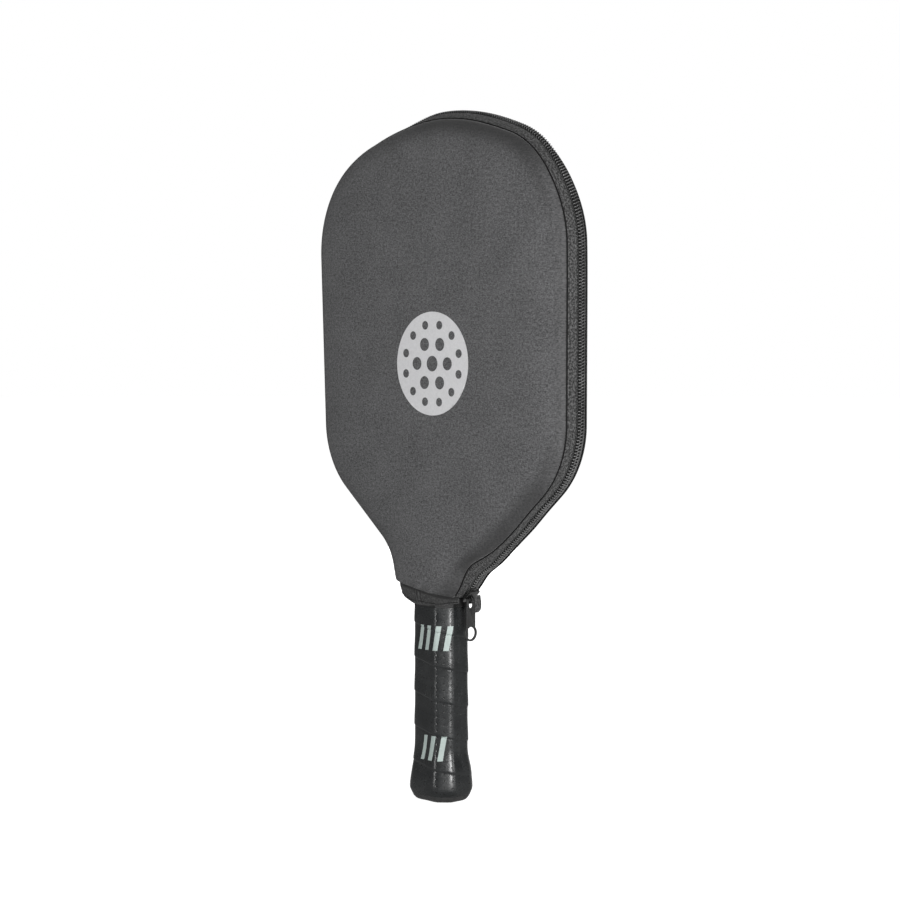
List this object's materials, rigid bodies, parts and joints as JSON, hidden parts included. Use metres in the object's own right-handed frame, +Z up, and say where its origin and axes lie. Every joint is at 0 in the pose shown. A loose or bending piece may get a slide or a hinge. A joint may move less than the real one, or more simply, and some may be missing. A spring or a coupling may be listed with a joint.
{
  "type": "paddle case with paddle",
  "caption": "Soft padded paddle case with rounded panels and a side zip, zipped over a paddle whose wrapped grip sticks out below.",
  "frame": {"origin": "centre of the flat bottom face of the handle's butt", "axes": "+Z runs up the handle to the top of the case, -Y is the front panel, +X is the side with the zip"},
  "size_m": [0.2171, 0.0346, 0.4152],
  "materials": {
    "case_cloth": "matt heathered knit over padding",
    "webbing": "woven zip tape",
    "collar_cloth": "woven binding",
    "zipper_nylon": "moulded nylon",
    "slider_metal": "black lacquer",
    "pull_tab_metal": "dark grey lacquer",
    "honeycomb": "plain polymer",
    "carbon_face": "raw woven carbon",
    "edge_plastic": "soft moulded plastic",
    "handle_foam": "rigid foam",
    "butt_plastic": "moulded plastic",
    "grip_wrap": "tacky perforated wrap",
    "finishing_tape": "stretched tape"
  },
  "bodies": {
    "case": {"back_panel": "case_cloth", "front_panel_fixed_strip": "case_cloth", "side_gusset": "case_cloth", "zipper_tape_back": "webbing", "zipper_coil_back": "zipper_nylon", "zipper_bottom_stop": "slider_metal", "zipper_tape_tail": "webbing", "collar_back": "collar_cloth", "paddle_core": "honeycomb", "paddle_face_front": "carbon_face", "paddle_face_back": "carbon_face", "edge_guard": "edge_plastic", "handle_shell_front": "handle_foam", "handle_shell_back": "handle_foam", "butt_cap": "butt_plastic", "grip_wrap": "grip_wrap", "grip_finishing_tape": "finishing_tape"},
    "flap": {"front_panel_flap": "case_cloth", "zipper_tape_front": "webbing", "zipper_coil_front": "zipper_nylon", "collar_front": "collar_cloth"},
    "slider": {"slider_body": "slider_metal", "slider_crown": "slider_metal"},
    "tab": {"pull_tab": "pull_tab_metal"}
  },
  "joints": [
    {"name": "flap_open", "type": "hinge", "parent": "case", "child": "flap", "pos_m": [-0.02531, -0.0176, 0.125], "axis": [0.0442, -0.0129, -0.9989], "range_deg": [0, 135]},
    {"name": "zip_slide", "type": "slide", "parent": "case", "child": "slider", "axis": [0.7505, 0, 0.6608], "range_m": [0, 0.075]},
    {"name": "tab_swing", "type": "hinge", "parent": "slider", "child": "tab", "pos_m": [0.02507, 0.0005, 0.12413], "axis": [0, -1, 0], "range_deg": [-10, 120]}
  ]
}
